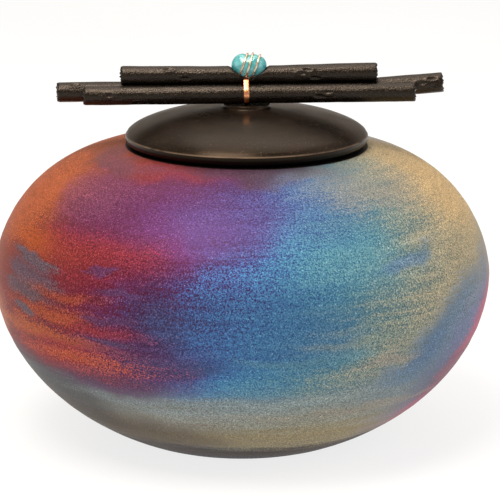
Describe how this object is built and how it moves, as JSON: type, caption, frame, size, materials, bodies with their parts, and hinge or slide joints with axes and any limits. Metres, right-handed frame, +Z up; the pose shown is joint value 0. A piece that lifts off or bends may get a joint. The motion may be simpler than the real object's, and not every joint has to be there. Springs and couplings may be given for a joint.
{
  "type": "funeral urn",
  "caption": "Squat round fumed clay urn with a loose domed lid, a handle of bound dark twigs and a wrapped turquoise bead.",
  "frame": {"origin": "middle of the foot, on the surface the urn stands on", "axes": "+Z up along the vessel's axis, +X along the twigs, -Y towards the front in the picture"},
  "size_m": [0.24, 0.24, 0.1867],
  "materials": {
    "glaze": "fumed iridescent matt-metallic glaze, fine speckle",
    "lid_clay": "smoked black-brown satin clay",
    "twig": "dark stained satin twig with low bark ridges",
    "copper": null,
    "turquoise": "tumbled polished turquoise",
    "wire": null
  },
  "bodies": {
    "root": {"urn_body": "glaze", "lid": "lid_clay", "stick_front": "twig", "stick_back": "twig", "stick_upper": "twig", "copper_strap": "copper", "turquoise_bead": "turquoise", "bead_wire": "wire"}
  },
  "joints": []
}
